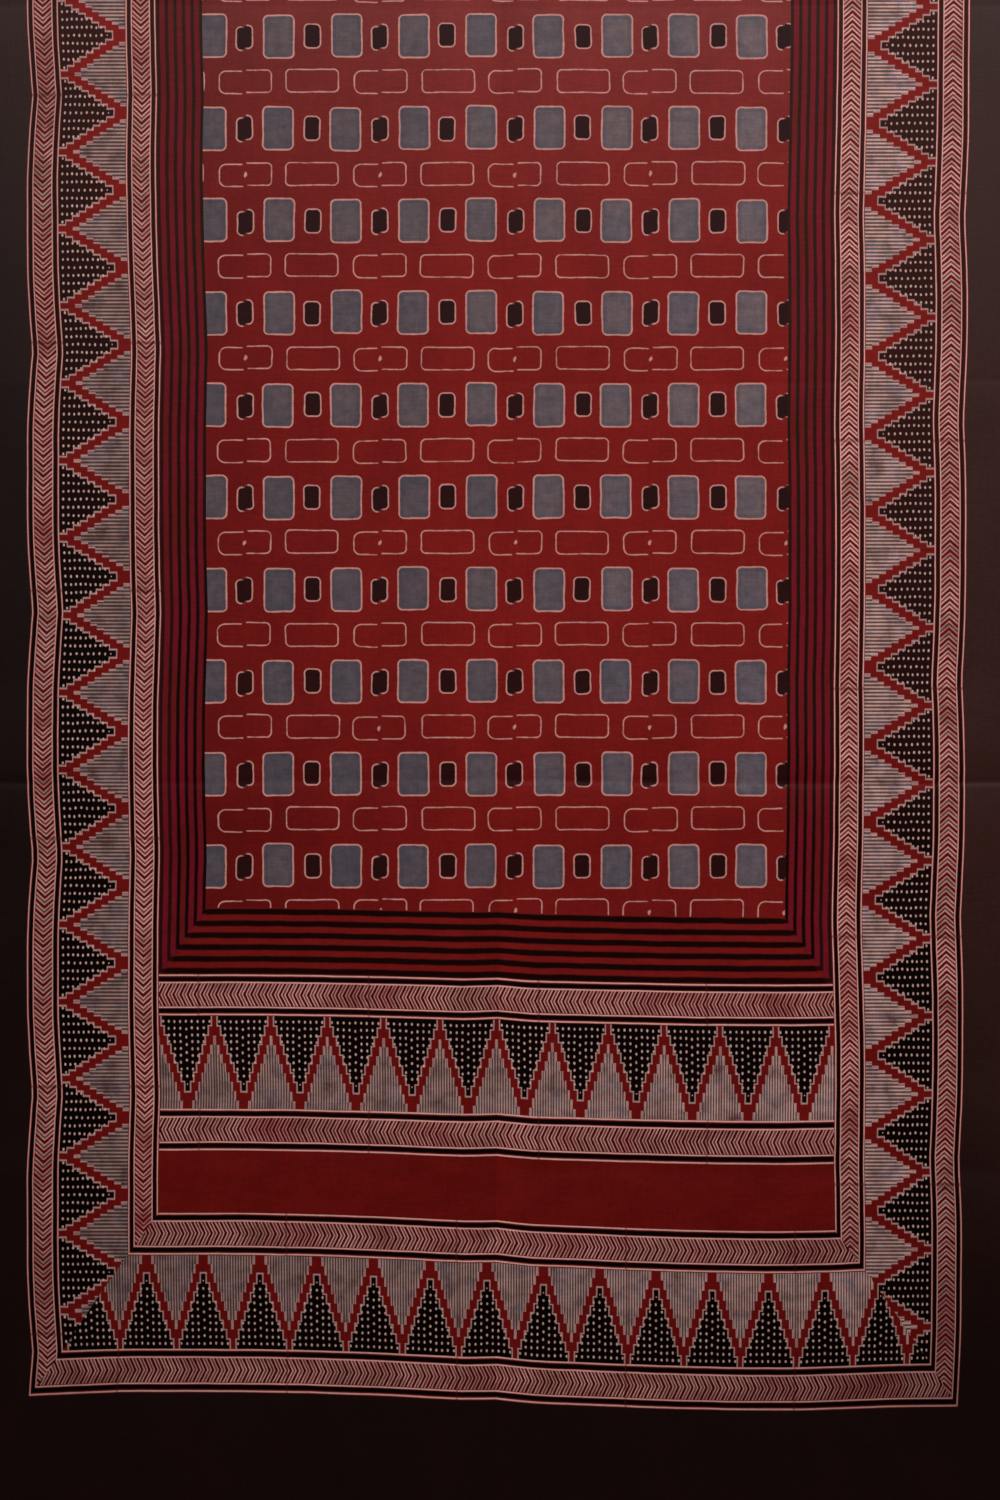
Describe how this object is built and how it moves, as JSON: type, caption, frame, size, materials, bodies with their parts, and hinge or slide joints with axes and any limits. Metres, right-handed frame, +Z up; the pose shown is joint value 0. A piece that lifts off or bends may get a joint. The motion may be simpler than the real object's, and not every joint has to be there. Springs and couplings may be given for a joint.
{
  "type": "ajrakh cloth",
  "caption": "Long rectangular block-printed cotton cloth laid out flat, with stepped and herringbone borders round a red field and soft creases where it was folded.",
  "frame": {"origin": "middle of the cloth's underside, on the surface that it lies on", "axes": "+X across the cloth, +Y along it away from the end that the picture shows, +Z up out of its printed face"},
  "size_m": [0.9, 2.5, 0.0068],
  "materials": {
    "printed_cotton": "matte plain-woven cotton, resist and mordant printed in madder red, brown-black, grey-blue and cream"
  },
  "bodies": {
    "root": {"cloth": "printed_cotton"}
  },
  "joints": []
}
